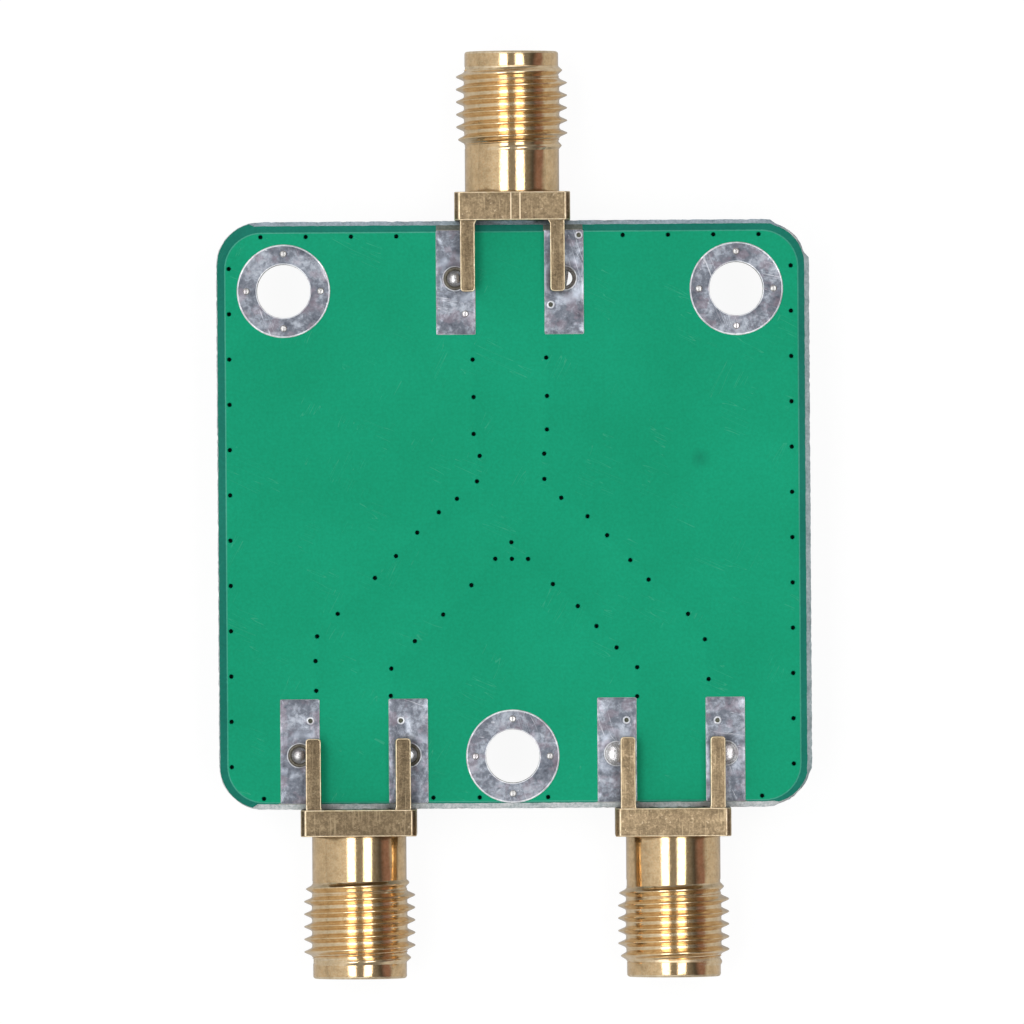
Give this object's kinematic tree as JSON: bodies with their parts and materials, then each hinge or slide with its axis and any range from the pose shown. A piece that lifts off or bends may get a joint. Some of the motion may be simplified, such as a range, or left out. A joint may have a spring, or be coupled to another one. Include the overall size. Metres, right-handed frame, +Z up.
{
  "type": "rf power splitter",
  "caption": "Square green circuit board with a gold threaded coaxial input jack and output jacks on its edges.",
  "frame": {"origin": "below the middle of the board's outline, on the plane that the jack flanges rest on", "axes": "+Z up through the board to its solder side, +Y out of the input jack, -Y out of the outputs"},
  "size_m": [0.0334, 0.052, 0.0065],
  "materials": {
    "masked_board": "satin",
    "masked_copper": "satin",
    "tinned_copper": "satin",
    "gold_plated_brass": "polished",
    "gold_plated_contact": "polished",
    "white_insulator": "matte",
    "chip_ceramic": "satin",
    "tinned_caps": "satin",
    "solder": "polished"
  },
  "bodies": {
    "root": {"circuit_board": "masked_board", "star_junction": "masked_copper", "mounting_ring_input_left": "tinned_copper", "mounting_ring_input_right": "tinned_copper", "mounting_ring_output": "tinned_copper", "jack_body_input": "gold_plated_brass", "jack_insulator_input": "white_insulator", "jack_contact_input": "gold_plated_contact", "signal_line_input": "masked_copper", "resistor_input": "chip_ceramic", "resistor_caps_input": "tinned_caps", "resistor_solder_input": "solder", "tail_solder_input": "solder", "ground_pad_input_left": "tinned_copper", "anchor_solder_input_left": "solder", "ground_pad_input_right": "tinned_copper", "anchor_solder_input_right": "solder", "jack_body_output_left": "gold_plated_brass", "jack_insulator_output_left": "white_insulator", "jack_contact_output_left": "gold_plated_contact", "signal_line_output_left": "masked_copper", "resistor_output_left": "chip_ceramic", "resistor_caps_output_left": "tinned_caps", "resistor_solder_output_left": "solder", "tail_solder_output_left": "solder", "ground_pad_output_left_left": "tinned_copper", "anchor_solder_output_left_left": "solder", "ground_pad_output_left_right": "tinned_copper", "anchor_solder_output_left_right": "solder", "jack_body_output_right": "gold_plated_brass", "jack_insulator_output_right": "white_insulator", "jack_contact_output_right": "gold_plated_contact", "signal_line_output_right": "masked_copper", "resistor_output_right": "chip_ceramic", "resistor_caps_output_right": "tinned_caps", "resistor_solder_output_right": "solder", "tail_solder_output_right": "solder", "ground_pad_output_right_left": "tinned_copper", "anchor_solder_output_right_left": "solder", "ground_pad_output_right_right": "tinned_copper", "anchor_solder_output_right_right": "solder"}
  },
  "joints": []
}
